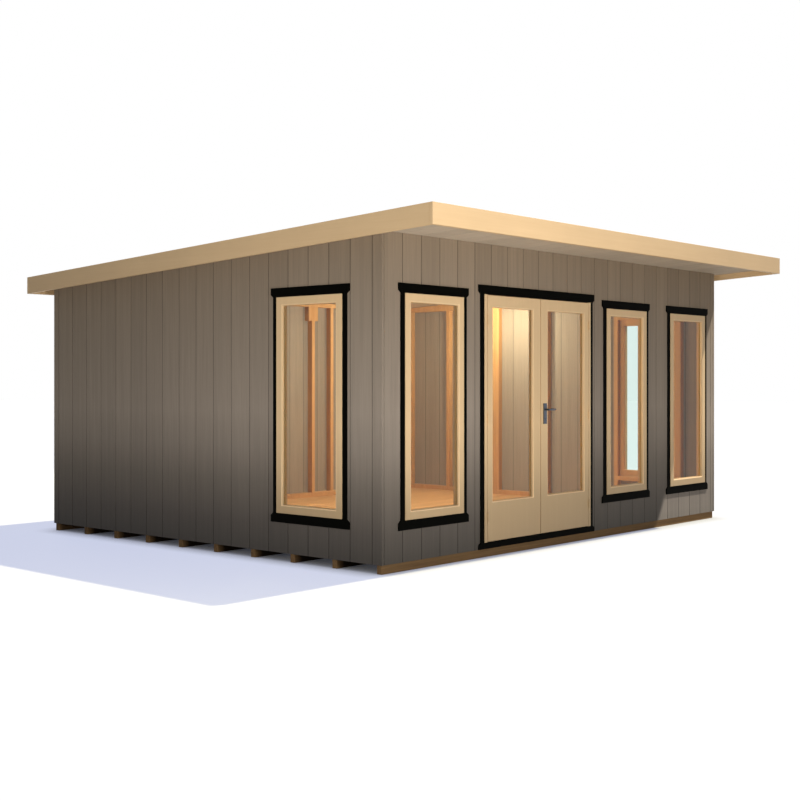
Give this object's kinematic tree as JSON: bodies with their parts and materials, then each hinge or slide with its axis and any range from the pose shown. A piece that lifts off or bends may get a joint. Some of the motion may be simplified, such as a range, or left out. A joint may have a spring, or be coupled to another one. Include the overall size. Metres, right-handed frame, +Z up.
{
  "type": "garden room",
  "caption": "Timber garden room with a mono-pitch overhanging roof, tall fixed side and front windows and glazed double doors that open outwards.",
  "frame": {"origin": "on the ground, under the middle of the roof's outline", "axes": "+X to the right along the front wall, +Y from the doors to the back wall, +Z up"},
  "size_m": [5.224, 4.663, 2.4997],
  "materials": {
    "treated_timber": "rough sawn, brown pressure treatment",
    "pine": "planed, untreated",
    "grey_boards": "fine sawn boards, warm grey stain",
    "roof_sheet": "matt sheet",
    "cream_timber": "satin cream paint",
    "black_timber": "satin black paint",
    "glass": "clear",
    "steel": "satin"
  },
  "bodies": {
    "building": {"floor_bearers": "treated_timber", "floor_deck": "pine", "cladding_left": "grey_boards", "cladding_right": "grey_boards", "cladding_back": "grey_boards", "cladding_front_left": "grey_boards", "cladding_front_right": "grey_boards", "cladding_over_door": "grey_boards", "frame_left": "pine", "frame_right": "pine", "frame_back": "pine", "frame_front_left": "pine", "frame_front_right": "pine", "frame_over_door": "pine", "roof_soffit": "grey_boards", "roof_panel": "pine", "roof_sheet": "roof_sheet", "fascia_front": "cream_timber", "fascia_left": "cream_timber", "fascia_right": "cream_timber", "fascia_back": "cream_timber", "casing_left": "black_timber", "casing_right": "black_timber", "casing_front_1": "black_timber", "casing_front_2": "black_timber", "casing_front_3": "black_timber", "window_left": "cream_timber", "window_right": "cream_timber", "window_front_1": "cream_timber", "window_front_2": "cream_timber", "window_front_3": "cream_timber", "side_window_glass": "glass", "front_window_glass": "glass", "door_casing": "black_timber", "door_frame": "cream_timber", "hinge_frame_halves": "steel"},
    "left_door": {"left_leaf": "cream_timber", "left_leaf_glass": "glass", "left_leaf_hinges": "steel"},
    "right_door": {"right_leaf": "cream_timber", "right_leaf_glass": "glass", "right_leaf_hinges": "steel", "handle_plates": "steel"},
    "lever": {"lever": "steel"}
  },
  "joints": [
    {"name": "left_door_hinge", "type": "hinge", "parent": "building", "child": "left_door", "pos_m": [-1.251, -1.764, 0.119], "axis": [0, 0, -1], "range_deg": [0, 110]},
    {"name": "right_door_hinge", "type": "hinge", "parent": "building", "child": "right_door", "pos_m": [0.159, -1.764, 0.119], "axis": [0, 0, 1], "range_deg": [0, 110]},
    {"name": "lever_turn", "type": "hinge", "parent": "right_door", "child": "lever", "pos_m": [-0.491, -1.7575, 1.106], "axis": [0, 1, 0], "range_deg": [0, 40], "stiffness_Nm_per_rad": 0.8, "springref_deg": -34.38}
  ]
}
